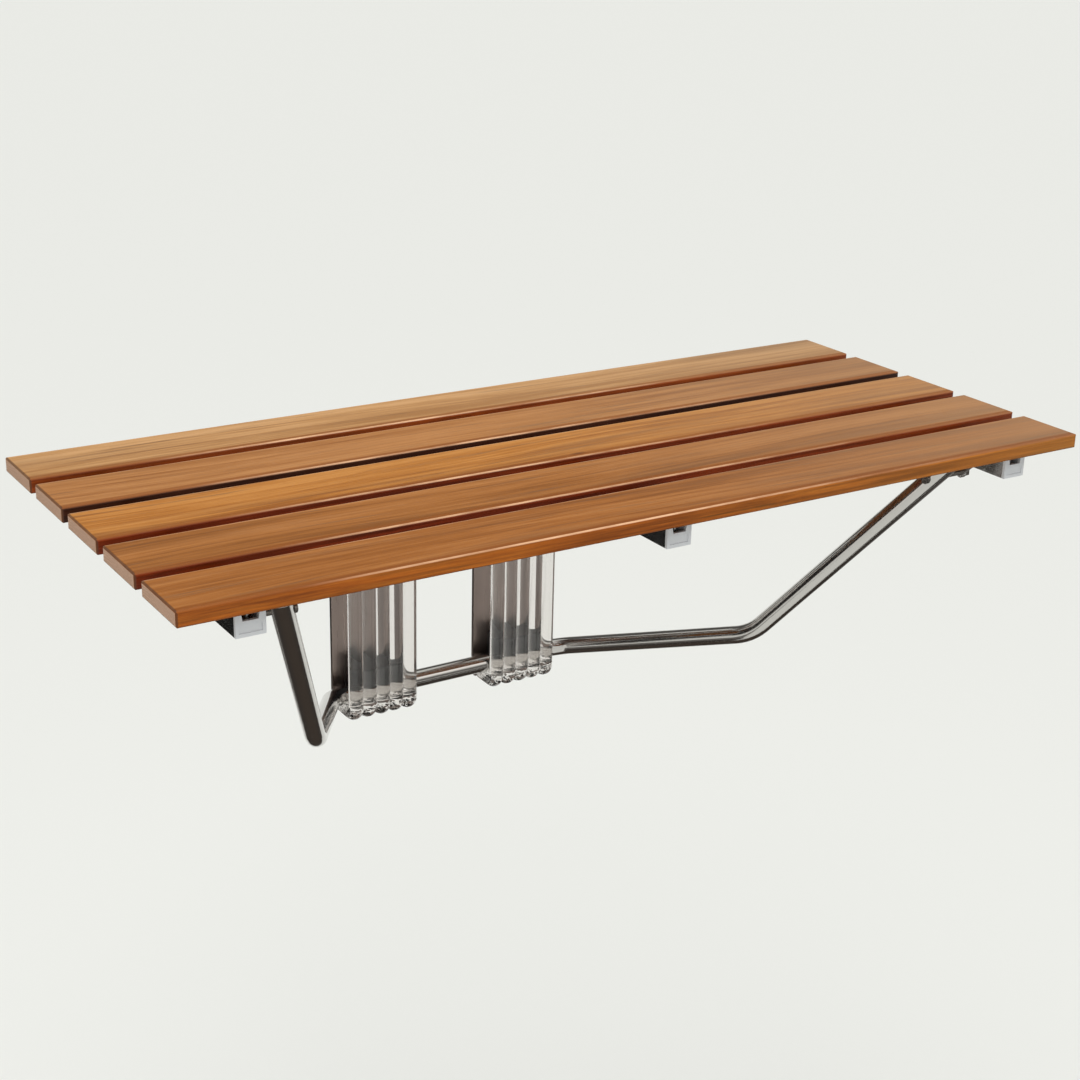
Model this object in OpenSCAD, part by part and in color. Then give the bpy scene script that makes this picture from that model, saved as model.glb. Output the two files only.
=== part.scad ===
// Wall-hung folding shower bench: five teak slats on three channel rails, a bent tube leg frame
// and two clear reeded guides on steel wall plates.
// Millimetres. X runs along the wall, the room lies toward -Y, Z is up.
// The wall is the plane Y = 0, and the origin is the middle of the wall screws.

/* [Seat] */
// Length of every slat, along the wall
seat_length = 914; // [860:2:1100]
// Width of one slat, front to back
slat_width = 70; // [64:1:78]
// Open gap between two slats
slat_gap = 14; // [8:1:18]
// Thickness of one slat
slat_thickness = 14; // [12:0.5:20]
// Rounding of a slat's edges
slat_edge = 2.5; // [1:0.25:4]
// Height of the seat's top above the middle of the wall screws
seat_height = 165; // [160:1:180]
// Distance from the wall to the seat's rear edge
wall_gap = 32; // [32:1:40]

/* [Rails] */
// Distance from the middle of an outer rail to the end of the slats
slat_overhang = 64; // [48:1:80]
// Outside width of a rail
rail_width = 25; // [22:1:32]
// Outside height of a rail
rail_height = 24; // [22:1:30]
// Wall of a rail
rail_wall = 2; // [1.5:0.25:3]
// Width of the open slot along the top of a rail
rail_slot = 13; // [9:0.5:14]
// How far the rails end behind the seat's front edge
rail_inset = 15; // [8:1:20]
// Thickness of the front cap's face
cap_face = 3; // [2:0.5:5]
// Depth of the notch in the top of a front cap
cap_notch = 11; // [6:0.5:12]

/* [Seat hinge] */
// Distance from the slats' underside down to the hinge axis
hinge_drop = 10; // [9.75:0.25:12]
// Distance from the seat's rear edge back to the hinge axis
hinge_setback = 4; // [3:0.25:6]
// Diameter of the hinge shaft
shaft_d = 12; // [10:0.5:13]
// Wall of the plastic bushes round the shaft
bush_wall = 1.5; // [1:0.25:1.75]
// Thickness of a bush's flange
bush_flange = 1.5; // [1:0.25:2.5]
// Width of the collars that hold the shaft sideways
collar_width = 8; // [5:0.5:14]

/* [Leg frame] */
// Outside diameter of the tube
tube_d = 19; // [16:0.5:20]
// Wall of the tube
tube_wall = 1.5; // [1:0.25:2.5]
// Distance from the wall to the axis of the straight bar
bar_reach = 22; // [21:0.5:23]
// Depth of the straight bar's axis below the seat's top
bar_depth = 314; // [300:1:325]
// Half the length of the straight bar, between its bends' corners
bar_half = 137; // [136:1:160]
// Radius of the bends beside the straight bar
bar_bend = 34; // [25:1:34]
// Half the distance between the knees
knee_half = 249; // [225:1:270]
// Distance from the wall to the knees
knee_reach = 222; // [200:1:240]
// Depth of the knees below the seat's top
knee_depth = 247; // [225:1:260]
// Radius of the bends at the knees
knee_bend = 60; // [40:1:90]
// Free length of a pivot pin between its bracket and the tube
pin_length = 19.5; // [12:0.5:30]
// Distance from the seat's front edge back to the leg's pivot axis
pivot_inset = 70; // [60:1:80]
// Distance from the slats' underside down to the leg's pivot axis
pivot_drop = 32.5; // [32.5:0.5:40]
// Diameter of the pivot pins
pivot_d = 6; // [5:0.5:7]

/* [Guides] */
// Distance between the middles of the two guides
guide_spacing = 169; // [160:1:171]
// Width of a guide
guide_width = 78; // [70:1:79]
// Clearance between the straight bar and a guide's front wall
bar_gap = 1; // [0.5:0.25:2.5]
// Thickness of a guide's front wall behind the reeds
guide_wall = 3.5; // [3:0.25:4.5]
// How far the reeds stand proud of the front wall
reed_rise = 4; // [2:0.25:4.5]
// Thickness of the clear foot under the bar, without its reeds
guide_foot = 13; // [12.5:0.5:20]
// Radius of the bend from a guide's front wall into its foot
guide_bend = 9; // [6:0.5:12]

/* [Glides] */
// Width of a glide, along the bar
glide_width = 50; // [44:1:62]
// Height of a glide above the bar's axis
glide_rise = 28; // [18:0.5:30]
// Depth of a glide below the bar's axis, behind the bar
glide_fall = 8; // [5:0.5:9]

/* [Wall plates] */
// Width of a wall plate, over its ears
plate_width = 86; // [80:1:92]
// Thickness of the wall plates and their ears
plate_thickness = 4; // [3:0.25:5]
// Distance between the two rows of wall screws
wall_screw_row = 76; // [60:2:120]
// Diameter of the wall screw holes
wall_screw_d = 6.5; // [5:0.25:8]

/* [Small fasteners] */
// Shank diameter of the slat and bracket screws
screw_d = 4; // [3:0.25:5]
// Distance from a rail's front end back to the nearest slat screw
slat_screw_edge = 5; // [4:0.5:8]
// How deep a slat screw goes into the slat
slat_screw_bite = 9; // [6:0.5:10]
// Thickness of the pivot brackets
bracket_thickness = 3; // [2:0.25:4]

/* [Hidden] */
$fn = 64;

// Clearances
fit = 0.05;          // round the shaft, the bar, the studs and the screws
slide_gap = 0.3;     // between a glide and the walls it runs on, and under the resting bar
pivot_gap = 0.3;     // between a pivot stud and the pin that turns beside it
cap_fit = 0.2;       // round the plugs that sit inside a rail
cut = 1;             // how far a cutting shape runs past the face it cuts

// Seat
SLATS = 5;
seat_depth = SLATS * slat_width + (SLATS - 1) * slat_gap;
seat_rear = -wall_gap;
seat_front = seat_rear - seat_depth;
slat_under = seat_height - slat_thickness;

// Rails
rail_spacing = seat_length / 2 - slat_overhang;
rail_bottom = slat_under - rail_height;
cap_front = seat_front + rail_inset;
rail_front = cap_front + cap_face;
rail_inner = rail_width - 2 * rail_wall;
RAIL_SIDES = [-1, 0, 1];
cap_tongue = 12;
cap_tongue_wall = 2.5;
cap_notch_flare = 2;
cap_recess = 0.8;
cap_recess_margin = 3;

// Seat hinge
hinge_y = seat_rear + hinge_setback;
hinge_z = slat_under - hinge_drop;
shaft_r = shaft_d / 2;
boss_gap = 0.5;                                              // slats' turning corner to the ears
slat_corner_r = norm([hinge_setback, hinge_drop]);           // nearest point of a slat to the axis
boss_r = slat_corner_r - boss_gap;
knuckle_r = hinge_drop - boss_gap;
rail_rear = hinge_y - boss_r - boss_gap;
block_plug = 30;
bush_r = shaft_r + fit + bush_wall;
bush_rim = 0.3;                                              // flange kept inside the ear's boss

// Leg frame
tube_r = tube_d / 2;
bend_lap = 0.6;                                              // straights reach this far into a bend
bend_thin = 0.03;                                            // a bend is drawn this much thinner
end_side = 1.55 * tube_r;                                    // pivot's middle to the end's outermost point
end_plug = 28;                                               // the tube is closed from here to its end
end_reach = 3 * tube_r;                                      // uncut length beyond the pivot
end_cut_back = 8.7;                                          // where the end's slanted cut starts
end_cut_rise = 4.2;
end_cut_slope = 0.2;

// Pivot between the leg frame and the seat
pivot_y = seat_front + pivot_inset;
pivot_z = slat_under - pivot_drop;
pivot_r = pivot_d / 2;
bracket_face = rail_spacing - rail_width / 2 - bracket_thickness;
stud_end = bracket_face - pin_length;
pin_end = stud_end - pivot_gap;
eye_half = pin_end - end_side;
pin_seat = eye_half - 0.9 * tube_r;                          // flat that a cross pin's head lies on
pin_head_r = pivot_r + 2;
pin_head = 3;
nut_rim = 2.5;                                               // nut's corners beyond the stud
nut_r = pivot_r + nut_rim;
nut_height = 5;
bracket_rim = 2.75;                                          // steel round the bracket's hole
bracket_tip_r = pivot_r + bracket_rim;
bracket_neck = bracket_tip_r - 0.5;
bracket_half = 14;
bracket_screw_half = 9;
bracket_top_gap = 2;
// Corners of the tube's path
bar_y = -bar_reach;
bar_z = seat_height - bar_depth;
bar_corner = [bar_half, bar_y, bar_z];
knee_corner = [knee_half, -knee_reach, seat_height - knee_depth];
eye_centre = [eye_half, pivot_y, pivot_z];

// Glides
glide_fit = 0.1;
glide_lip = 8;                                               // front lip's edge above the bar's axis

// Guides
guide_inner = -(bar_reach + tube_r + bar_gap);               // inner face of the front wall
guide_front = guide_inner - guide_wall;                      // base of the reeds
guide_top = hinge_z - boss_r - 1;
foot_top = bar_z - tube_r - slide_gap;
foot_base = foot_top - guide_foot;
foot_bottom = foot_base - reed_rise;
REEDS = 5;
reed_pitch = guide_width / REEDS;
reed_r = (pow(reed_pitch / 2, 2) + pow(reed_rise, 2)) / (2 * reed_rise);
foot_chamfer = 6;
foot_chamfer_rise = 4;
guide_screw_inset = reed_pitch / 2;
guide_screw_drop = 27;
guide_screw_seat = 1;
foot_screw_half = 24;
foot_screw_r = 2.5;
foot_screw_bite = 18;
foot_screw_drop = 5.5;
foot_screw_head_r = 4.5;
foot_screw_head = 2;

// Wall plates
plate_front = -plate_thickness;
plate_foot_rise = 4;                                         // plate's lower edge above the foot's
plate_bottom = foot_bottom + plate_foot_rise;
ear_top = hinge_z + 2.5;
tab_width = 20;
tab_height = 30;
tab_drop = 12;
tab_bottom = guide_top - tab_drop - tab_height;
ear_slope = 18;
ear_bottom = tab_bottom - ear_slope;
plate_corner = 4;
wall_screw_r = wall_screw_d / 2;
wall_screw_sink = 2.5;

// Screws
screw_r = screw_d / 2;
screw_head_r = screw_r + 2;
screw_head = 2.2;
slat_screw_pitch = slat_width - 2 * (rail_inset + cap_face + slat_screw_edge);

// ---------- shared shapes ----------

// A rod from point a to point b
module rod(a, b, r) {
    way = b - a;
    long = norm(way);
    translate(a)
        rotate([0, acos(way[2] / long), atan2(way[1], way[0])])
            cylinder(r = r, h = long);
}

// Runs its children on the right and mirrored on the left
module both_sides() {
    children();
    mirror([1, 0, 0]) children();
}

// A rod along X from x1 to x2 through the point y, z
module x_rod(x1, x2, y, z, r) {
    translate([x1, y, z]) rotate([0, 90, 0]) cylinder(r = r, h = x2 - x1);
}

// A shape drawn in Y and Z, given a width along X about the plane x
module x_slab(x, width) {
    translate([x - width / 2, 0, 0])
        multmatrix([[0, 0, 1, 0], [1, 0, 0, 0], [0, 1, 0, 0], [0, 0, 0, 1]])
            linear_extrude(width) children();
}

// A rectangle with round corners, from its low corner to its high corner
module round_square(low, high, r) {
    translate([low[0] + r, low[1]]) square([high[0] - low[0] - 2 * r, high[1] - low[1]]);
    translate([low[0], low[1] + r]) square([high[0] - low[0], high[1] - low[1] - 2 * r]);
    for (x = [low[0] + r, high[0] - r], y = [low[1] + r, high[1] - r])
        translate([x, y]) circle(r = r);
}

// A round bend of a tube at a corner, from direction u into direction v
function unit(v) = v / norm(v);
function turn(u, v) = acos(u * v);
function trim(u, v, bend) = bend * tan(turn(u, v) / 2);

module bend_at(corner, u, v, bend, r) {
    axis = unit(cross(u, v));
    out = -cross(axis, u);
    centre = corner - u * trim(u, v, bend) - out * bend;
    multmatrix([
        [out[0], u[0], axis[0], centre[0]],
        [out[1], u[1], axis[1], centre[1]],
        [out[2], u[2], axis[2], centre[2]],
        [0, 0, 0, 1]
    ])
        rotate_extrude(angle = turn(u, v)) translate([bend, 0]) circle(r = r);
}

// A pan-head screw along +Z, its head below the plane z = 0
module pan_screw(r, long, head_r, head) {
    cylinder(r = r, h = long);
    translate([0, 0, -head]) cylinder(r1 = head_r * 0.8, r2 = head_r, h = head);
}

// ---------- seat ----------

function slat_centre(i) = seat_rear - slat_width / 2 - (i - 1) * (slat_width + slat_gap);

// Runs its children at every slat screw of slat i
module at_slat_screws(i) {
    for (side = RAIL_SIDES, step = [-0.5, 0.5])
        translate([side * rail_spacing, slat_centre(i) + step * slat_screw_pitch, rail_bottom])
            children();
}

// Slat i, counted from the wall: round on every edge, with blind pilot holes from below
module slat(i) {
    middle = slat_centre(i);
    half = seat_length / 2;
    y1 = middle - slat_width / 2;
    y2 = middle + slat_width / 2;
    color("peru")
        difference() {
            intersection() {
                x_slab(0, seat_length) round_square([y1, slat_under], [y2, seat_height], slat_edge);
                translate([0, 0, slat_under])
                    linear_extrude(slat_thickness) round_square([-half, y1], [half, y2], slat_edge);
                translate([0, y2, 0]) rotate([90, 0, 0])
                    linear_extrude(slat_width)
                        round_square([-half, slat_under], [half, seat_height], slat_edge);
            }
            at_slat_screws(i)
                cylinder(r = screw_r + fit, h = rail_height + slat_screw_bite + fit);
        }
}

module slat_screws() {
    color("silver")
        for (i = [1:SLATS])
            at_slat_screws(i)
                pan_screw(screw_r, rail_height + slat_screw_bite, screw_head_r, screw_head);
}

// Open-topped channel with two lips, cut for the slat screws and the bracket screws
module rail(side) {
    x = side * rail_spacing;
    color("gainsboro")
        difference() {
            translate([x, rail_rear, 0]) rotate([90, 0, 0])
                linear_extrude(rail_rear - rail_front)
                    difference() {
                        translate([-rail_width / 2, rail_bottom]) square([rail_width, rail_height]);
                        translate([-rail_inner / 2, rail_bottom + rail_wall])
                            square([rail_inner, rail_height - 2 * rail_wall]);
                        translate([-rail_slot / 2, rail_bottom + rail_wall])
                            square([rail_slot, rail_height]);
                    }
            for (i = [1:SLATS])
                at_slat_screws(i)
                    translate([0, 0, -cut]) cylinder(r = screw_r + fit, h = rail_wall + 2 * cut);
            if (side != 0)
                at_bracket_screws(side)
                    cylinder(r = screw_r + fit, h = bracket_thickness + rail_wall + cut);
        }
}

// Moulded cap: a recessed face with a flared notch, and two tongues that grip the channel
module front_cap(side) {
    face_low = rail_bottom;
    tongue_low = rail_bottom + rail_wall + cap_fit;
    tongue_high = slat_under - rail_wall - cap_fit;
    color("whitesmoke")
        translate([side * rail_spacing, 0, 0]) {
            difference() {
                translate([0, rail_front, 0]) rotate([90, 0, 0])
                    linear_extrude(cap_face)
                        difference() {
                            translate([-rail_width / 2, face_low]) square([rail_width, rail_height]);
                            polygon([
                                [-rail_slot / 2, slat_under - cap_notch],
                                [rail_slot / 2, slat_under - cap_notch],
                                [rail_slot / 2 + cap_notch_flare, slat_under + cut],
                                [-rail_slot / 2 - cap_notch_flare, slat_under + cut]
                            ]);
                        }
                translate([-rail_width / 2 + cap_recess_margin, cap_front - cut,
                           face_low + cap_recess_margin])
                    cube([rail_width - 2 * cap_recess_margin, cap_recess + cut,
                          rail_height - cap_notch - 2 * cap_recess_margin]);
            }
            for (hand = [-1, 1])
                translate([hand * (rail_inner / 2 - cap_fit - cap_tongue_wall / 2), rail_front, 0])
                    translate([-cap_tongue_wall / 2, 0, tongue_low])
                        cube([cap_tongue_wall, cap_tongue, tongue_high - tongue_low]);
        }
}

// Cast block: a plug inside the rail's rear end and a round knuckle on the hinge shaft
module hinge_block(side) {
    plug_low = rail_bottom + rail_wall + cap_fit;
    plug_high = slat_under - rail_wall - cap_fit;
    color("darkgray")
        difference() {
            union() {
                x_slab(side * rail_spacing, rail_width) {
                    translate([hinge_y, hinge_z]) circle(r = knuckle_r);
                    translate([rail_rear, hinge_z - knuckle_r])
                        square([hinge_y - rail_rear, 2 * knuckle_r]);
                }
                x_slab(side * rail_spacing, rail_inner - 2 * cap_fit)
                    translate([rail_rear - block_plug, plug_low])
                        square([block_plug, plug_high - plug_low]);
            }
            x_rod(side * rail_spacing - rail_width, side * rail_spacing + rail_width,
                  hinge_y, hinge_z, shaft_r + fit);
            at_slat_screws(1) cylinder(r = screw_r + fit, h = rail_height + cut);
        }
}

module hinge_shaft() {
    reach = rail_spacing + rail_width / 2;
    color("silver") x_rod(-reach, reach, hinge_y, hinge_z, shaft_r);
}

// Rings on the shaft just outside the outer ears
module shaft_collars() {
    start = (guide_spacing + plate_width) / 2 + bush_flange + pivot_gap;
    color("dimgray")
        both_sides()
            difference() {
                x_rod(start, start + collar_width, hinge_y, hinge_z, knuckle_r);
                x_rod(start - cut, start + collar_width + cut, hinge_y, hinge_z, shaft_r + fit);
            }
}

// ---------- pivots between the seat and the leg frame ----------

// Runs its children at each bracket screw of one side, pointing into the rail
module at_bracket_screws(side) {
    for (step = [-1, 1])
        translate([side * bracket_face, pivot_y + step * bracket_screw_half,
                   (slat_under + rail_bottom) / 2])
            rotate([0, side * 90, 0]) children();
}

// Steel ear on the inner side of an outer rail, tapering down to the pivot
module pivot_bracket(side) {
    top = slat_under - bracket_top_gap;
    middle = side * (bracket_face + bracket_thickness / 2);
    low = middle - bracket_thickness / 2;
    color("silver")
        difference() {
            union() {
                x_slab(middle, bracket_thickness)
                    polygon([
                        [pivot_y - bracket_half, top], [pivot_y + bracket_half, top],
                        [pivot_y + bracket_half, rail_bottom],
                        [pivot_y + bracket_neck, pivot_z], [pivot_y - bracket_neck, pivot_z],
                        [pivot_y - bracket_half, rail_bottom]
                    ]);
                x_rod(low, low + bracket_thickness, pivot_y, pivot_z, bracket_tip_r);
            }
            x_rod(low - cut, low + bracket_thickness + cut, pivot_y, pivot_z, pivot_r + fit);
            at_bracket_screws(side)
                translate([0, 0, -cut])
                    cylinder(r = screw_r + fit, h = bracket_thickness + 2 * cut);
        }
}

module bracket_screws() {
    color("silver")
        for (side = [-1, 1])
            at_bracket_screws(side)
                pan_screw(screw_r, bracket_thickness + rail_wall, screw_head_r, screw_head);
}

// Pins from the brackets toward the tube
module pivot_studs() {
    color("silver")
        both_sides()
            x_rod(stud_end, bracket_face + bracket_thickness + nut_height, pivot_y, pivot_z, pivot_r);
}

// Hexagon nuts outside the brackets, below the rails
module pivot_nuts() {
    start = bracket_face + bracket_thickness;
    color("silver")
        both_sides()
            difference() {
                translate([start, pivot_y, pivot_z]) rotate([0, 90, 0])
                    cylinder(r = nut_r, h = nut_height, $fn = 6);
                x_rod(start - cut, start + nut_height + cut, pivot_y, pivot_z, pivot_r + fit);
            }
}

// Pins across the tube's ends, each with a flat head on the inner side
module cross_pins() {
    color("dimgray")
        both_sides() {
            x_rod(pin_seat, pin_end, pivot_y, pivot_z, pivot_r);
            x_rod(pin_seat - pin_head, pin_seat, pivot_y, pivot_z, pin_head_r);
        }
}

// ---------- leg frame ----------

// The tube's path as round rods and bends of radius r, its arms reaching past the pivots by the
// length given. A bend is drawn a hair thinner than the straights, which reach into it.
module tube_path(r, past) {
    across = [1, 0, 0];
    wing = unit(knee_corner - bar_corner);
    arm = unit(eye_centre - knee_corner);
    bar_trim = trim(across, wing, bar_bend) - bend_lap;
    knee_trim = trim(wing, arm, knee_bend) - bend_lap;
    x_rod(bar_trim - bar_half, bar_half - bar_trim, bar_y, bar_z, r);
    both_sides() {
        bend_at(bar_corner, across, wing, bar_bend, r - bend_thin);
        rod(bar_corner + wing * bar_trim, knee_corner - wing * knee_trim, r);
        bend_at(knee_corner, wing, arm, knee_bend, r - bend_thin);
        rod(knee_corner + arm * knee_trim, eye_centre + arm * past, r);
    }
}

// Bent tube with closed ends, cut nearly parallel to the seat just above the pivots
module support_tube() {
    low = end_cut_rise - end_cut_back * end_cut_slope;
    high = end_cut_rise + 2 * (end_cut_back + end_reach) * end_cut_slope;
    color("lightsteelblue")
        difference() {
            tube_path(tube_r, end_reach);
            tube_path(tube_r - tube_wall, -end_plug);
            both_sides() {
                x_slab(eye_half, 4 * tube_d)
                    polygon([
                        [pivot_y + 2 * end_cut_back, pivot_z + low],
                        [pivot_y - end_cut_back - 2 * end_reach, pivot_z + high],
                        [pivot_y - end_cut_back - 2 * end_reach, pivot_z + 2 * end_reach],
                        [pivot_y + 2 * end_cut_back, pivot_z + 2 * end_reach]
                    ]);
                x_rod(eye_half - 2 * tube_r, eye_half + 2 * tube_r, pivot_y, pivot_z, pivot_r + fit);
                x_rod(eye_half - 2 * tube_r, pin_seat, pivot_y, pivot_z, pin_head_r + fit);
            }
        }
}

// Glide: a block behind the clear front that grips the straight bar from above and behind
module glide(side) {
    back = plate_front - slide_gap;
    front = guide_inner + slide_gap;
    color("black")
        x_slab(guide_x(side), glide_width)
            difference() {
                round_square([front, bar_z - glide_fall], [back, bar_z + glide_rise], 2);
                translate([front - cut, bar_z - glide_fall - cut])
                    square([bar_y - front + cut, glide_fall + cut + glide_lip]);
                translate([bar_y, bar_z]) circle(r = tube_r + glide_fit);
            }
}

// ---------- wall side ----------

function guide_x(side) = side * guide_spacing / 2;

// Section of a reeded wall, side by side along X: flat behind, reeds on the side of -Y
module reeded_strip(side, depth) {
    edge = guide_x(side) - guide_width / 2;
    translate([edge, 0]) square([guide_width, depth]);
    intersection() {
        translate([edge, -reed_rise]) square([guide_width, reed_rise + cut]);
        for (i = [0:REEDS - 1])
            translate([edge + (i + 0.5) * reed_pitch, reed_r - reed_rise]) circle(r = reed_r);
    }
}

// Runs its children at the screws that hold a guide's top, pointing to the wall
module at_guide_screws(side) {
    for (hand = [-1, 1])
        translate([guide_x(side) + hand * (guide_width / 2 - guide_screw_inset),
                   guide_front + guide_screw_seat, guide_top - guide_screw_drop])
            rotate([-90, 0, 0]) children();
}

// Runs its children at the screws that hold a guide's foot, pointing away from the wall
module at_foot_screws(side) {
    for (hand = [-1, 1])
        translate([guide_x(side) + hand * foot_screw_half, 0, foot_top - foot_screw_drop])
            rotate([90, 0, 0]) children();
}

// Clear guide: a reeded wall in front of the bar that turns under it into a thick foot
module guide(side) {
    corner_y = guide_front + guide_bend;
    corner_z = foot_base + guide_bend;
    color("aliceblue", 0.5)
        difference() {
            union() {
                translate([0, guide_front, corner_z])
                    linear_extrude(guide_top - corner_z) reeded_strip(side, guide_wall);
                multmatrix([[0, 0, 1, 0], [-1, 0, 0, corner_y], [0, -1, 0, corner_z], [0, 0, 0, 1]])
                    rotate_extrude(angle = 90)
                        translate([guide_bend, 0]) rotate(90) reeded_strip(side, guide_bend);
                translate([0, plate_front, foot_base]) rotate([90, 0, 0])
                    linear_extrude(plate_front - corner_y) reeded_strip(side, guide_bend);
                translate([guide_x(side) - guide_width / 2, guide_front, corner_z])
                    cube([guide_width, plate_front - guide_front, foot_top - corner_z]);
            }
            x_slab(guide_x(side), guide_width + 2 * cut)
                polygon([
                    [plate_front + cut, foot_bottom - cut],
                    [plate_front + cut, foot_base + foot_chamfer_rise],
                    [plate_front, foot_base + foot_chamfer_rise],
                    [plate_front - foot_chamfer, foot_bottom - cut]
                ]);
            at_guide_screws(side) {
                cylinder(r = screw_r + fit, h = guide_wall + cut);
                translate([0, 0, -reed_rise - 2 * cut])
                    cylinder(r = screw_head_r + fit, h = reed_rise + 2 * cut);
            }
            at_foot_screws(side)
                cylinder(r = foot_screw_r + fit, h = plate_thickness + foot_screw_bite + fit);
        }
}

module guide_screws() {
    color("silver")
        for (side = [-1, 1])
            at_guide_screws(side)
                pan_screw(screw_r, guide_wall - guide_screw_seat + plate_thickness,
                          screw_head_r, screw_head);
}

// Countersunk screws through the wall plates into the clear feet
module foot_screws() {
    color("silver")
        for (side = [-1, 1])
            at_foot_screws(side) {
                cylinder(r = foot_screw_r, h = plate_thickness + foot_screw_bite);
                cylinder(r1 = foot_screw_head_r, r2 = foot_screw_r, h = foot_screw_head);
            }
}

// Outline of the ear that carries the seat hinge, in Y and Z
module ear_outline() {
    polygon([
        [0, ear_bottom], [guide_inner, tab_bottom], [guide_inner, hinge_z],
        [hinge_y, ear_top], [0, ear_top]
    ]);
    translate([hinge_y, hinge_z]) circle(r = boss_r);
}

// Steel plate with two ears bent forward, and a tab on each ear for the guide
module wall_plate(side) {
    x = guide_x(side);
    half = plate_width / 2;
    color("tan")
        difference() {
            union() {
                rotate([90, 0, 0])
                    linear_extrude(plate_thickness)
                        round_square([x - half, plate_bottom], [x + half, ear_top], plate_corner);
                for (hand = [-1, 1]) {
                    x_slab(x + hand * (half - plate_thickness / 2), plate_thickness) ear_outline();
                    translate([x + hand * (half - tab_width / 2) - tab_width / 2, guide_inner,
                               tab_bottom])
                        cube([tab_width, plate_thickness, tab_height]);
                }
            }
            x_rod(x - half - cut, x + half + cut, hinge_y, hinge_z, bush_r);
            at_guide_screws(side) cylinder(r = screw_r + fit, h = guide_wall + plate_thickness + cut);
            at_foot_screws(side) {
                translate([0, 0, -cut])
                    cylinder(r = foot_screw_r + fit, h = plate_thickness + 2 * cut);
                cylinder(r1 = foot_screw_head_r + fit, r2 = foot_screw_r + fit,
                         h = foot_screw_head);
            }
            for (row = [-0.5, 0.5])
                translate([x, 0, row * wall_screw_row]) rotate([90, 0, 0]) {
                    translate([0, 0, -cut])
                        cylinder(r = wall_screw_r, h = plate_thickness + 2 * cut);
                    translate([0, 0, plate_thickness - wall_screw_sink])
                        cylinder(r1 = wall_screw_r, r2 = wall_screw_r + wall_screw_sink,
                                 h = wall_screw_sink);
                }
        }
}

// Flanged bushes round the shaft, one in each ear, their flanges on the outside
module hinge_bushes() {
    color("dimgray")
        for (side = [-1, 1], hand = [-1, 1])
            translate([guide_x(side) + hand * plate_width / 2, hinge_y, hinge_z])
                rotate([0, hand * 90, 0])
                    difference() {
                        union() {
                            translate([0, 0, -plate_thickness])
                                cylinder(r = bush_r, h = plate_thickness);
                            cylinder(r = boss_r - bush_rim, h = bush_flange);
                        }
                        translate([0, 0, -plate_thickness - cut])
                            cylinder(r = shaft_r + fit, h = plate_thickness + bush_flange + 2 * cut);
                    }
}

// ---------- assembly ----------

wall_plate(-1);  // wall_plate_left
wall_plate(1);  // wall_plate_right
guide(-1);  // guide_left
guide(1);  // guide_right
guide_screws();
foot_screws();
hinge_bushes();
slat(1);  // slat_1
slat(2);  // slat_2
slat(3);  // slat_3
slat(4);  // slat_4
slat(5);  // slat_5
slat_screws();
rail(-1);  // rail_left
rail(0);  // rail_middle
rail(1);  // rail_right
front_cap(-1);  // front_cap_left
front_cap(0);  // front_cap_middle
front_cap(1);  // front_cap_right
hinge_block(-1);  // hinge_block_left
hinge_block(0);  // hinge_block_middle
hinge_block(1);  // hinge_block_right
hinge_shaft();
shaft_collars();
pivot_bracket(-1);  // pivot_bracket_left
pivot_bracket(1);  // pivot_bracket_right
bracket_screws();
pivot_studs();
pivot_nuts();
support_tube();
cross_pins();
glide(-1);  // glide_left
glide(1);  // glide_right
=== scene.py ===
"""Looks of the wall-hung folding shower bench: materials, light, floor and camera."""
import math

import bpy
from mathutils import Matrix, Vector


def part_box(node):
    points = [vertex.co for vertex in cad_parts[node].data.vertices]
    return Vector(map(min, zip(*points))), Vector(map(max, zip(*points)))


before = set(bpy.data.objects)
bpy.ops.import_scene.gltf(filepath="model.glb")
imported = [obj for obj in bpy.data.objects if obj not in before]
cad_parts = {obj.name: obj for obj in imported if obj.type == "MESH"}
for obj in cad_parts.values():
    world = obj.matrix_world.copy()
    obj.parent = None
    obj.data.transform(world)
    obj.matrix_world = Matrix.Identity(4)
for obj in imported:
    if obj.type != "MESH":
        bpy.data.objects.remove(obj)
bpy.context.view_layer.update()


# ---------- node helpers ----------

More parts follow.
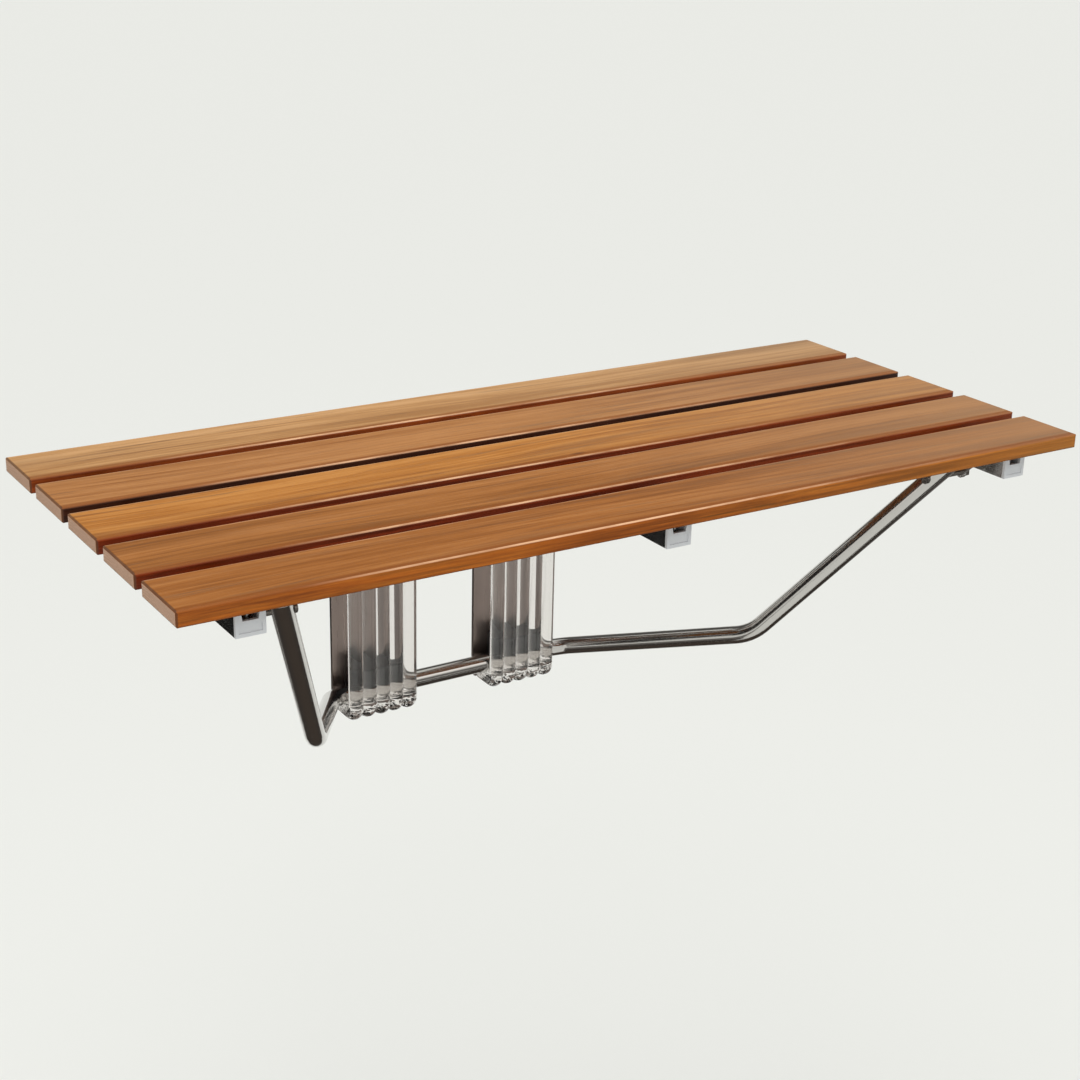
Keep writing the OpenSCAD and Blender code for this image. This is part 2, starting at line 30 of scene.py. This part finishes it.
class Nodes:
    """Builds one material's node tree with short calls."""

    def __init__(self, name):
        self.mat = bpy.data.materials.new(name)
        self.mat.use_nodes = True
        self.tree = self.mat.node_tree
        self.tree.nodes.clear()
        self.out = self.tree.nodes.new("ShaderNodeOutputMaterial")

    def add(self, kind, **settings):
        """Adds a node; the keywords are its properties."""
        node = self.tree.nodes.new(kind)
        for key, value in settings.items():
            setattr(node, key, value)
        return node

    def put(self, socket, value):
        """Links an output, or sets a plain value, on an input socket."""
        if isinstance(value, bpy.types.NodeSocket):
            self.tree.links.new(value, socket)
        else:
            socket.default_value = value

    def coords(self):
        """Where a point lies in the shared frame, at rest; it stays when the piece moves."""
        return self.add("ShaderNodeTexCoord").outputs["Object"]

    def split(self, vector):
        """The three parts of a vector."""
        node = self.add("ShaderNodeSeparateXYZ")
        self.put(node.inputs[0], vector)
        return node.outputs

    def facing(self):
        """How far the surface faces the piece's own X, Y and Z; it stays when the piece moves."""
        return self.split(self.add("ShaderNodeTexCoord").outputs["Normal"])

    def far(self, vector):
        """Length of a vector."""
        node = self.add("ShaderNodeVectorMath", operation="LENGTH")
        self.put(node.inputs[0], vector)
        return node.outputs["Value"]

    def mapping(self, vector, scale=(1, 1, 1), place=(0, 0, 0)):
        node = self.add("ShaderNodeMapping")
        self.put(node.inputs["Vector"], vector)
        node.inputs["Scale"].default_value = scale
        node.inputs["Location"].default_value = place
        return node.outputs["Vector"]

    def noise(self, vector, scale, detail=2.0, rough=0.5):
        node = self.add("ShaderNodeTexNoise")
        self.put(node.inputs["Vector"], vector)
        node.inputs["Scale"].default_value = scale
        node.inputs["Detail"].default_value = detail
        node.inputs["Roughness"].default_value = rough
        return node.outputs["Fac"]

    def pattern(self, vector, scale, detail, rough, place=(0, 0, 0)):
        """Noise with its own scale along X, Y and Z, moved by place."""
        return self.noise(self.mapping(vector, scale, place), 1.0, detail, rough)

    def ramp(self, fac, *stops):
        """Colour ramp; a stop is (position, colour or grey)."""
        node = self.add("ShaderNodeValToRGB")
        self.put(node.inputs["Fac"], fac)
        items = node.color_ramp.elements
        while len(items) < len(stops):
            items.new(0.5)
        for item, (at, tone) in zip(items, stops):
            item.position = at
            item.color = (tone, tone, tone, 1) if isinstance(tone, float) else (*tone, 1)
        return node.outputs["Color"]

    def rise(self, fac, start, end):
        """0 up to start, growing to 1 at end."""
        return self.ramp(fac, (start, 0.0), (end, 1.0))

    def fall(self, fac, start, end):
        """1 up to start, shrinking to 0 at end."""
        return self.ramp(fac, (start, 1.0), (end, 0.0))

    def math(self, operation, a, b=0.0):
        node = self.add("ShaderNodeMath", operation=operation)
        self.put(node.inputs[0], a)
        self.put(node.inputs[1], b)
        return node.outputs["Value"]

    def plus(self, a, b):
        return self.math("ADD", a, b)

    def minus(self, a, b):
        return self.math("SUBTRACT", a, b)

    def times(self, a, b):
        return self.math("MULTIPLY", a, b)

    def mix(self, fac, a, b, blend="MIX"):
        node = self.add("ShaderNodeMix", data_type="RGBA", blend_type=blend)
        self.put(node.inputs["Factor"], fac)
        self.put(node.inputs[6], a if isinstance(a, bpy.types.NodeSocket) else (*a, 1))
        self.put(node.inputs[7], b if isinstance(b, bpy.types.NodeSocket) else (*b, 1))
        return node.outputs[2]

    def lay(self, over, share, mask, colour):
        """Lays a colour over another where the mask is 1, covering up to a share of it."""
        return self.mix(self.times(mask, share), over, colour)

    def bump(self, height, strength, distance):
        node = self.add("ShaderNodeBump")
        self.put(node.inputs["Height"], height)
        node.inputs["Strength"].default_value = strength
        node.inputs["Distance"].default_value = distance
        return node.outputs["Normal"]

    def surface(self, **sockets):
        """The Principled shader; keywords are its inputs with _ for a space."""
        node = self.add("ShaderNodeBsdfPrincipled")
        for key, value in sockets.items():
            if key == "Base_Color" and not isinstance(value, bpy.types.NodeSocket):
                value = (*value, 1)
            self.put(node.inputs[key.replace("_", " ")], value)
        self.tree.links.new(node.outputs[0], self.out.inputs[0])
        return self.mat


def dress(names, material):
    """Gives the material to the named pieces."""
    for name in names:
        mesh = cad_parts[name].data
        mesh.materials.clear()
        mesh.materials.append(material)


# ---------- teak ----------

SMOKE = (0.135, 0.075, 0.042)
# pale grey for the painted sheen towards the slats' right ends
SHEEN_GREY = (0.44, 0.285, 0.165)
END_GRAIN = (0.66, 0.435, 0.310)
END_DARK = (0.27, 0.145, 0.085)
RIM = (0.085, 0.030, 0.012)
KNOT = (0.075, 0.028, 0.010)
# pale tone for the painted highlights on the slats' edges
EDGE_HIGHLIGHT = (0.90, 0.56, 0.33)
OIL_LINE = (0.24, 0.064, 0.005)

# these multiply the wood's own colour; the first is painted shade under the slats
UNDERSIDE_SHADE = (0.46, 0.38, 0.32)
# the side tones: the oil's tone, with painted shade for the gaps between slats, most in the red
# and the dark one
RED_SIDE_AND_SHADE = (0.50, 0.16, 0.025)
DARK_SIDE_AND_SHADE = (0.10, 0.05, 0.03)
BRIGHT_EDGE = (1.15, 0.82, 0.22)

# each wood's dark, middle and light tone
HONEY = ((0.38, 0.180, 0.060), (0.53, 0.280, 0.108), (0.63, 0.355, 0.155))
CHESTNUT = ((0.275, 0.100, 0.024), (0.400, 0.165, 0.046), (0.49, 0.220, 0.072))
AMBER = ((0.300, 0.098, 0.012), (0.455, 0.172, 0.028), (0.57, 0.245, 0.056))
UMBER = ((0.235, 0.080, 0.013), (0.355, 0.130, 0.026), (0.45, 0.185, 0.050))
RUSSET = ((0.225, 0.072, 0.010), (0.335, 0.115, 0.020), (0.425, 0.168, 0.042))

# patterns in the wood: how fast each changes along X, Y and Z per metre, its detail and roughness
BENDS = ((1.7, 4, 4), 1.0, 0.5)
BROAD = ((1.6, 30, 30), 2.0, 0.5)
LINES = ((4.0, 170, 170), 4.0, 0.62)
FINE = ((16, 760, 760), 4.0, 0.68)
STREAKS = ((5.0, 190, 190), 5.0, 0.70)
CLOUDS = ((2.2, 34, 34), 2.0, 0.5)
PORES = ((70, 1500, 1500), 2.0, 0.6)
SIDE_STREAKS = ((7, 300, 300), 4.0, 0.6)
HIGHLIGHT_PATCHES = ((9, 60, 60), 4.0, 0.65)

# how much each pattern counts in the tone of the wood; together they are 1
BROAD_SHARE = 0.34
LINES_SHARE = 0.40
FINE_SHARE = 0.26

GRAIN_SWAY = 0.045              # metres that the grain bends sideways
KNOT_LENGTH = 0.011             # metres from the knot's middle to its tip
KNOT_SLIMNESS = 2.6             # its length over its width
KNOT_INSET = 0.006              # metres from the slat's front edge
HEART_BESIDE = 0.02             # metres from the slat's middle back to the heart of its tree
HEART_BELOW = 0.05              # metres from the slat's underside down to it
RING_RATE = 2600.0              # radians of growth ring per metre
RING_WOBBLE = 0.004             # metres that the rings stray
X_SHIFT = 0.5                   # added to X, so that along a slat it runs from about 0 to 1
PER_CM = 100.0                  # turns metres into centimetres


class Slat:
    """One slat's box and the sockets that its layers of colour share."""

    def __init__(self, name, place):
        self.low, self.high = (Vector(corner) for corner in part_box(name))
        self.place = place
        self.nodes = nodes = Nodes(name + "_teak")
        self.here = nodes.coords()
        where = nodes.split(self.here)
        self.along = nodes.plus(where["X"], X_SHIFT)
        self.from_front = nodes.times(nodes.minus(where["Y"], self.low.y), PER_CM)
        self.from_rear = nodes.times(nodes.minus(self.high.y, where["Y"]), PER_CM)
        self.face = nodes.facing()
        self.front = nodes.math("ABSOLUTE", self.face["Y"])
        self.end = nodes.math("ABSOLUTE", self.face["X"])
        self.upward = nodes.rise(self.face["Z"], 0.35, 0.65)
        self.under = nodes.rise(nodes.times(self.face["Z"], -1.0), 0.5, 0.8)


def grain(slat, dark, mid, light):
    """Colour of the slat's broad faces, and the fine grain that its bump follows."""
    nodes = slat.nodes
    shifted = nodes.mapping(slat.here, place=slat.place)
    sway = nodes.add("ShaderNodeCombineXYZ")
    nodes.put(sway.inputs["Y"], nodes.times(nodes.pattern(shifted, *BENDS), GRAIN_SWAY))
    moved = nodes.add("ShaderNodeVectorMath", operation="ADD")
    nodes.put(moved.inputs[0], shifted)
    nodes.put(moved.inputs[1], sway.outputs[0])
    flow = moved.outputs[0]

    broad = nodes.times(nodes.pattern(flow, *BROAD), BROAD_SHARE)
    lines = nodes.times(nodes.pattern(flow, *LINES), LINES_SHARE)
    fine = nodes.pattern(flow, *FINE)
    tone = nodes.plus(nodes.plus(broad, lines), nodes.times(fine, FINE_SHARE))
    colour = nodes.ramp(tone, (0.42, dark), (0.50, mid), (0.58, light))
    streak = nodes.fall(nodes.pattern(flow, *STREAKS, (3, 1, 0)), 0.32, 0.43)
    colour = nodes.lay(colour, 0.60, streak, SMOKE)
    cloud = nodes.rise(nodes.pattern(flow, *CLOUDS, (7, 4, 2)), 0.56, 0.70)
    colour = nodes.lay(colour, 0.32, cloud, SMOKE)
    pores = nodes.fall(nodes.pattern(flow, *PORES), 0.34, 0.42)
    return nodes.lay(colour, 0.35, pores, dark), fine


def knot(slat, colour, middle_x):
    """A small knot by the front edge, drawn out along the grain."""
    nodes = slat.nodes
    middle = (middle_x, slat.low.y + KNOT_INSET, slat.high.z)
    across = KNOT_SLIMNESS / KNOT_LENGTH
    squeeze = (1 / KNOT_LENGTH, across, across)
    place = tuple(-m * k for m, k in zip(middle, squeeze))
    ring = nodes.far(nodes.mapping(slat.here, squeeze, place))
    return nodes.lay(colour, 0.85, nodes.fall(ring, 0.2, 1.0), KNOT)


def painted_sheen_right(slat, colour):
    """Painted sheen: paler and greyer towards the right end."""
    return slat.nodes.mix(slat.nodes.ramp(slat.along, (0.45, 0.0), (0.98, 0.42)), colour, SHEEN_GREY)


def sides_oil_and_shade(slat, colour, edge):
    """The long sides take more oil, in streaks, and are painted darker for the shade in the gaps
    between slats; each slat's have their own tone.
    """
    nodes = slat.nodes
    streaks = nodes.pattern(slat.here, *SIDE_STREAKS, slat.place)
    streaky = nodes.ramp(streaks, (0.38, 0.62), (0.60, 1.0))
    oil_and_shade = nodes.mix(1.0, nodes.mix(1.0, colour, edge, "MULTIPLY"), streaky, "MULTIPLY")
    return nodes.mix(nodes.rise(slat.front, 0.30, 0.85), colour, oil_and_shade)


def painted_underside_shade(slat, colour):
    """Painted shade: the underside is darker."""
    nodes = slat.nodes
    return nodes.mix(slat.under, colour, nodes.mix(1.0, colour, UNDERSIDE_SHADE, "MULTIPLY"))


def oil_line(slat, colour):
    """A dark line of oil on top, just inside the front edge."""
    nodes = slat.nodes
    line = nodes.times(nodes.fall(slat.from_front, 0.52, 0.80), slat.upward)
    return nodes.lay(colour, 0.72, line, OIL_LINE)


def painted_edge_highlights(slat, colour):
    """Painted highlights in patches: pale on the rear rim, fading to the right, and on the front
    arris.

    The arris starts a little way in from the left end and fades past the middle.
    """
    nodes = slat.nodes
    rear = nodes.times(nodes.ramp(slat.from_rear, (0.15, 0.6), (0.40, 0.0)), slat.upward)
    rear = nodes.times(rear, nodes.ramp(slat.along, (0.50, 1.0), (0.80, 0.25)))
    sloped = nodes.ramp(slat.face["Z"], (0.42, 0.0), (0.60, 1.0), (0.86, 1.0), (0.95, 0.0))
    arris = nodes.times(sloped, nodes.rise(slat.front, 0.15, 0.35))
    reach = nodes.ramp(slat.along, (0.14, 0.0), (0.27, 1.0), (0.52, 1.0), (0.80, 0.12))
    arris = nodes.times(arris, reach)
    patches = nodes.pattern(slat.here, *HIGHLIGHT_PATCHES, slat.place)
    patchy = nodes.ramp(patches, (0.38, 0.25), (0.58, 1.0))
    highlit = nodes.times(patchy, nodes.math("MAXIMUM", arris, rear))
    return nodes.lay(colour, 0.80, highlit, EDGE_HIGHLIGHT)


def end_grain(slat, colour):
    """Growth rings cut across at the ends, with a dark rim of oil round them."""
    nodes = slat.nodes
    heart_y = (slat.low.y + slat.high.y) / 2 + HEART_BESIDE
    heart_z = slat.low.z - HEART_BELOW
    reach = nodes.far(nodes.mapping(slat.here, (0, 1, 1), (0, -heart_y, -heart_z)))
    wobble = nodes.times(nodes.noise(slat.here, 260.0, 3.0, 0.6), RING_WOBBLE)
    rings = nodes.math("SINE", nodes.times(nodes.plus(reach, wobble), RING_RATE))
    across = nodes.mix(nodes.plus(nodes.times(rings, 0.18), 0.30), END_GRAIN, END_DARK)
    speck = nodes.fall(nodes.noise(slat.here, 1500.0), 0.40, 0.52)
    across = nodes.lay(across, 0.35, speck, END_DARK)
    colour = nodes.mix(nodes.rise(slat.end, 0.90, 0.97), colour, across)
    rim = nodes.ramp(slat.end, (0.22, 0.0), (0.50, 1.0), (0.88, 1.0), (0.96, 0.0))
    return nodes.lay(colour, 0.80, rim, RIM)


def teak(name, place, tones, edge, knot_x):
    """Oiled teak with its grain along X. place moves the pattern, so no two slats match."""
    slat = Slat(name, place)
    nodes = slat.nodes
    colour, fine = grain(slat, *tones)
    if knot_x is not None:
        colour = knot(slat, colour, knot_x)
    # these layers paint sheen towards the right end, shade on the long sides and underside, and
    # highlights on the edges
    colour = painted_sheen_right(slat, colour)
    colour = sides_oil_and_shade(slat, colour, edge)
    colour = painted_underside_shade(slat, colour)
    colour = oil_line(slat, colour)
    colour = painted_edge_highlights(slat, colour)
    colour = end_grain(slat, colour)
    rough = nodes.plus(nodes.times(fine, 0.20), 0.32)
    rough = nodes.plus(rough, nodes.times(slat.under, 0.30))
    return nodes.surface(Base_Color=colour, Roughness=rough, Specular_IOR_Level=0.22,
                         Normal=nodes.bump(fine, 0.16, 0.0006))


# place of the pattern, tones, tone and painted shade of the long sides, and X of a knot
SLATS = {
    "slat_1": ((0.3, 0.11, 0.4), HONEY, RED_SIDE_AND_SHADE, None),
    "slat_2": ((1.7, 0.93, 0.1), CHESTNUT, DARK_SIDE_AND_SHADE, None),
    "slat_3": ((3.1, 0.37, 0.7), AMBER, RED_SIDE_AND_SHADE, 0.0),
    "slat_4": ((5.2, 0.61, 0.2), UMBER, RED_SIDE_AND_SHADE, None),
    "slat_5": ((7.9, 0.23, 0.9), RUSSET, BRIGHT_EDGE, None),
}
for name, settings in SLATS.items():
    dress([name], teak(name, *settings))


# ---------- metal and plastic ----------

CLEAR = (0.86, 0.83, 0.81)
CLEAR_IOR = 1.49
FACETS_PER_METRE = 190.0
FOOT_HEIGHT = 0.017             # metres up from the guide's lowest point
FOOT_FADE = 120.0               # the facets fade in over about 4 mm below the foot's top


def metal(name, colour, rough, spread, stretch):
    """Metal whose roughness grows by up to spread in a pattern stretched along X, Y and Z."""
    nodes = Nodes(name)
    wear = nodes.pattern(nodes.coords(), stretch, 3.0, 0.6)
    return nodes.surface(Base_Color=colour, Metallic=1.0,
                         Roughness=nodes.plus(nodes.times(wear, spread), rough))


def plastic(name, colour, rough):
    """Moulded plastic with a fine texture."""
    nodes = Nodes(name)
    texture = nodes.noise(nodes.coords(), 1800.0)
    return nodes.surface(Base_Color=colour, Roughness=rough,
                         Normal=nodes.bump(texture, 0.05, 0.0002))


def clear_plastic(guide):
    """Clear moulding with a faint smoke tint; its foot is cut into small bright facets."""
    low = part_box(guide)[0]
    nodes = Nodes(guide + "_clear")
    here = nodes.coords()
    cells = nodes.add("ShaderNodeTexVoronoi")
    nodes.put(cells.inputs["Vector"], here)
    cells.inputs["Scale"].default_value = FACETS_PER_METRE
    below_top = nodes.minus(low[2] + FOOT_HEIGHT, nodes.split(here)["Z"])
    foot = nodes.rise(nodes.times(below_top, FOOT_FADE), 0.0, 0.5)
    height = nodes.times(cells.outputs["Distance"], foot)
    return nodes.surface(Base_Color=CLEAR, Roughness=0.055, IOR=CLEAR_IOR,
                         Transmission_Weight=1.0, Normal=nodes.bump(height, 0.55, 0.002))


dress(["support_tube"], metal("tube_steel", (0.56, 0.545, 0.525), 0.07, 0.10, (60, 60, 60)))
dress(["wall_plate_left", "wall_plate_right"],
      metal("plate_steel", (0.33, 0.272, 0.25), 0.22, 0.16, (420, 420, 10)))
dress(["rail_left", "rail_middle", "rail_right",
       "hinge_block_left", "hinge_block_middle", "hinge_block_right"],
      metal("rail_aluminium", (0.58, 0.575, 0.57), 0.19, 0.03, (500, 9, 500)))
dress(["hinge_shaft", "shaft_collars", "guide_screws", "foot_screws", "slat_screws",
       "bracket_screws", "pivot_bracket_left", "pivot_bracket_right"],
      metal("fastener_steel", (0.56, 0.55, 0.54), 0.20, 0.13, (90, 90, 90)))
dress(["pivot_nuts", "pivot_studs", "cross_pins"],
      metal("dark_steel", (0.20, 0.18, 0.165), 0.26, 0.13, (90, 90, 90)))
for guide in ("guide_left", "guide_right"):
    dress([guide], clear_plastic(guide))
dress(["front_cap_left", "front_cap_middle", "front_cap_right"],
      plastic("cap_plastic", (0.66, 0.68, 0.70), 0.32))
dress(["glide_left", "glide_right", "hinge_bushes"],
      plastic("black_plastic", (0.018, 0.018, 0.022), 0.42))


# ---------- camera ----------

# the photograph's camera: degrees round the bench, where minus is to the left, above it and rolled
CAMERA_TURN = -32.23
CAMERA_RISE = 20.53
CAMERA_ROLL = 1.30
CAMERA_PLACE = (-0.90045, -1.62932, 0.69235)
LENS = 62.77
SENSOR = 36


def camera():
    turn, rise, roll = (math.radians(a) for a in (CAMERA_TURN, CAMERA_RISE, CAMERA_ROLL))
    back = Vector((math.sin(turn) * math.cos(rise), -math.cos(turn) * math.cos(rise),
                   math.sin(rise)))
    level_right = (-back).cross(Vector((0, 0, 1))).normalized()
    level_up = level_right.cross(-back)
    right = level_right * math.cos(roll) + level_up * math.sin(roll)
    up = level_up * math.cos(roll) - level_right * math.sin(roll)
    data = bpy.data.cameras.new("camera")
    data.sensor_width = SENSOR
    data.lens = LENS
    shot = bpy.data.objects.new("camera", data)
    facing = Matrix((right, up, back)).transposed().to_4x4()
    shot.matrix_world = Matrix.Translation(CAMERA_PLACE) @ facing
    bpy.context.collection.objects.link(shot)
    bpy.context.scene.camera = shot
    return shot


# ---------- floor and light ----------

PALE = (0.831, 0.839, 0.799)
FLOOR_Z = -1.30                 # low enough to take only a soft shadow of the hung bench
FLOOR_SIZE = 80
WORLD_LIGHT = 0.55


def pale_floor():
    bpy.ops.mesh.primitive_plane_add(size=FLOOR_SIZE, location=(0, 0, FLOOR_Z))
    floor = bpy.context.object
    floor.name = "floor"
    matt = Nodes("pale_floor").surface(Base_Color=PALE, Roughness=0.9, Specular_IOR_Level=0.1)
    floor.data.materials.append(matt)


def world_light():
    """The camera, mirrors and glass see the pale background; everything else is lit white."""
    world = bpy.data.worlds.new("studio")
    bpy.context.scene.world = world
    world.use_nodes = True
    tree = world.node_tree
    tree.nodes.clear()
    out = tree.nodes.new("ShaderNodeOutputWorld")
    seen = tree.nodes.new("ShaderNodeBackground")
    seen.inputs["Color"].default_value = (*PALE, 1)
    lit = tree.nodes.new("ShaderNodeBackground")
    lit.inputs["Color"].default_value = (1, 1, 1, 1)
    lit.inputs["Strength"].default_value = WORLD_LIGHT
    path = tree.nodes.new("ShaderNodeLightPath")
    either = path.outputs["Is Camera Ray"]
    for ray in ("Is Glossy Ray", "Is Transmission Ray"):
        most = tree.nodes.new("ShaderNodeMath")
        most.operation = "MAXIMUM"
        tree.links.new(either, most.inputs[0])
        tree.links.new(path.outputs[ray], most.inputs[1])
        either = most.outputs[0]
    mix = tree.nodes.new("ShaderNodeMixShader")
    tree.links.new(either, mix.inputs[0])
    tree.links.new(lit.outputs[0], mix.inputs[1])
    tree.links.new(seen.outputs[0], mix.inputs[2])
    tree.links.new(mix.outputs[0], out.inputs[0])


def lamp(name, light, direction, place=(0, 0, 0)):
    """Hangs a light at a place, shining in a direction."""
    held = bpy.data.objects.new(name, light)
    held.location = place
    held.rotation_euler = Vector(direction).to_track_quat("-Z", "Y").to_euler()
    bpy.context.collection.objects.link(held)


def area(name, place, target, wide, high, watts):
    light = bpy.data.lights.new(name, "AREA")
    light.shape = "RECTANGLE"
    light.size = wide
    light.size_y = high
    light.energy = watts
    lamp(name, light, Vector(target) - Vector(place), place)


def sun(name, direction, strength, spread):
    light = bpy.data.lights.new(name, "SUN")
    light.energy = strength
    light.angle = math.radians(spread)
    lamp(name, light, direction)


# ---------- cards and cloths that only reflections see ----------

BAR = (0, -0.03, -0.15)         # the tube's straight bar
SEAT_TOP = (0, -0.2, 0.16)
CARD_TINT = (1, 0.95, 0.90)

# place, what it faces, width, height and brightness
CARDS = {
    "right_flag": ((1.15, -2.00, -0.40), BAR, 2.0, 0.95, 0.20),
    "right_soft": ((1.15, -1.75, 1.10), BAR, 2.4, 1.35, 1.30),
    "left_soft": ((-2.25, -0.55, 0.19), BAR, 0.60, 0.60, 1.20),
    "left_flag": ((-2.50, 0.75, 0.05), BAR, 2.0, 1.4, 0.03),
    "left_top_flag": ((-2.30, 0.10, 1.45), BAR, 2.4, 1.5, 0.03),
    "rear_left_flag": ((-1.25, 1.30, -0.30), BAR, 1.9, 1.3, 0.012),
    "rear_top_flag": ((1.10, 2.60, 1.60), SEAT_TOP, 5.0, 2.3, 0.12),
}

EDGE = 0.5                      # the picture's edge, where its middle is 0 and its side is 1
SIDES_TOP = 0.1                 # how far up the picture left_cloth and right_cloth go

# the cloths on the floor, in metres
CLOTH_GAP = 0.04                # between the picture's edge and a cloth
CLOTH_LIFT = 0.01               # above the floor
CLOTH_REACH = 1.4               # outward from the picture's edges
CLOTH_WIDTH = 1.3               # across far_cloth and side_cloth
FRONT_START = 1.2               # from the picture's lower left corner to front_cloth's left end
FAR_START = 0.5                 # how much further left far_cloth starts than the right corner
RIGHT_SLANT = 0.8               # how much right_cloth comes nearer for each metre to the right
SIDE_START = (-0.60, -0.55)     # side_cloth's end under the bench
SIDE_END = (-3.5, -1.25)        # side_cloth's far end


def hang(piece, nodes, colour):
    """Makes the piece glow in a colour and hides it from all but reflections."""
    glow = nodes.add("ShaderNodeEmission")
    nodes.put(glow.inputs["Color"], colour)
    nodes.tree.links.new(glow.outputs[0], nodes.out.inputs[0])
    piece.data.materials.append(nodes.mat)
    piece.visible_camera = False
    piece.visible_diffuse = False
    piece.visible_transmission = False
    piece.visible_volume_scatter = False
    piece.visible_shadow = False


def card(name, place, target, wide, high, tone):
    """A flat card turned towards target: a dark flag or a bright softbox."""
    bpy.ops.mesh.primitive_plane_add(size=1, location=place)
    flat = bpy.context.object
    flat.name = name
    flat.rotation_euler = (Vector(target) - Vector(place)).to_track_quat("Z", "Y").to_euler()
    flat.scale = (wide, high, 1)
    hang(flat, Nodes(name + "_tone"), (*(tone * part for part in CARD_TINT), 1))


def floor_cloth(name, start, end, outward):
    """Cloth on the floor, from a line outward: dark brown near the bench, grey further out."""
    gap = outward.normalized() * CLOTH_GAP + Vector((0, 0, CLOTH_LIFT))
    mesh = bpy.data.meshes.new(name)
    mesh.from_pydata([start + gap, end + gap, end + outward, start + outward], [], [(0, 1, 2, 3)])
    cloth = bpy.data.objects.new(name, mesh)
    bpy.context.collection.objects.link(cloth)
    nodes = Nodes(name + "_tone")
    away = nodes.far(nodes.mapping(nodes.coords(), (0.4, 0.4, 0), (0, 0.1, 0)))
    tones = ((0.15, (0.068, 0.054, 0.044)), (0.42, (0.050, 0.043, 0.038)),
             (0.60, (0.15, 0.14, 0.13)), (0.90, (0.22, 0.21, 0.195)))
    hang(cloth, nodes, nodes.ramp(away, *tones))


def on_floor(shot, across, up):
    """Where the floor shows at a place in the square picture; its edges are at -EDGE and EDGE."""
    span = SENSOR / LENS
    ray = shot.matrix_world.to_3x3() @ Vector((across * span, up * span, -1))
    eye = shot.matrix_world.translation
    return eye + ray * ((FLOOR_Z - eye.z) / ray.z)


def floor_cloths(shot):
    """Cloths on the floor beyond the picture's edges, for the dark stripes in the polished tube.

    The floor left bare between front_cloth and side_cloth is the bright stripe in the right arm.
    """
    left, right = on_floor(shot, -EDGE, -EDGE), on_floor(shot, EDGE, -EDGE)
    along = (right - left).normalized()
    nearer = along.cross(Vector((0, 0, 1)))
    under = nearer * CLOTH_REACH
    floor_cloth("front_cloth", left - along * FRONT_START, right + along * CLOTH_REACH, under)
    floor_cloth("left_cloth", left, on_floor(shot, -EDGE, SIDES_TOP), -along * CLOTH_REACH)
    floor_cloth("right_cloth", right, on_floor(shot, EDGE, SIDES_TOP),
                (along + nearer * RIGHT_SLANT) * CLOTH_REACH)
    floor_cloth("far_cloth", right + under - along * FAR_START,
                right + under + along * CLOTH_REACH, Vector((0, -CLOTH_WIDTH, 0)))
    floor_cloth("side_cloth", Vector((*SIDE_START, FLOOR_Z)), Vector((*SIDE_END, FLOOR_Z)),
                Vector((0, CLOTH_WIDTH, 0)))


pale_floor()
world_light()
sun("key_sun", (0.35, 0.5, -1.0), 1.6, 50)
area("top_soft", (-0.2, -0.6, 2.4), (0, -0.25, 0.1), 2.4, 1.4, 12)
floor_cloths(camera())
for name, settings in CARDS.items():
    card(name, *settings)
bpy.context.scene.view_settings.view_transform = "Standard"
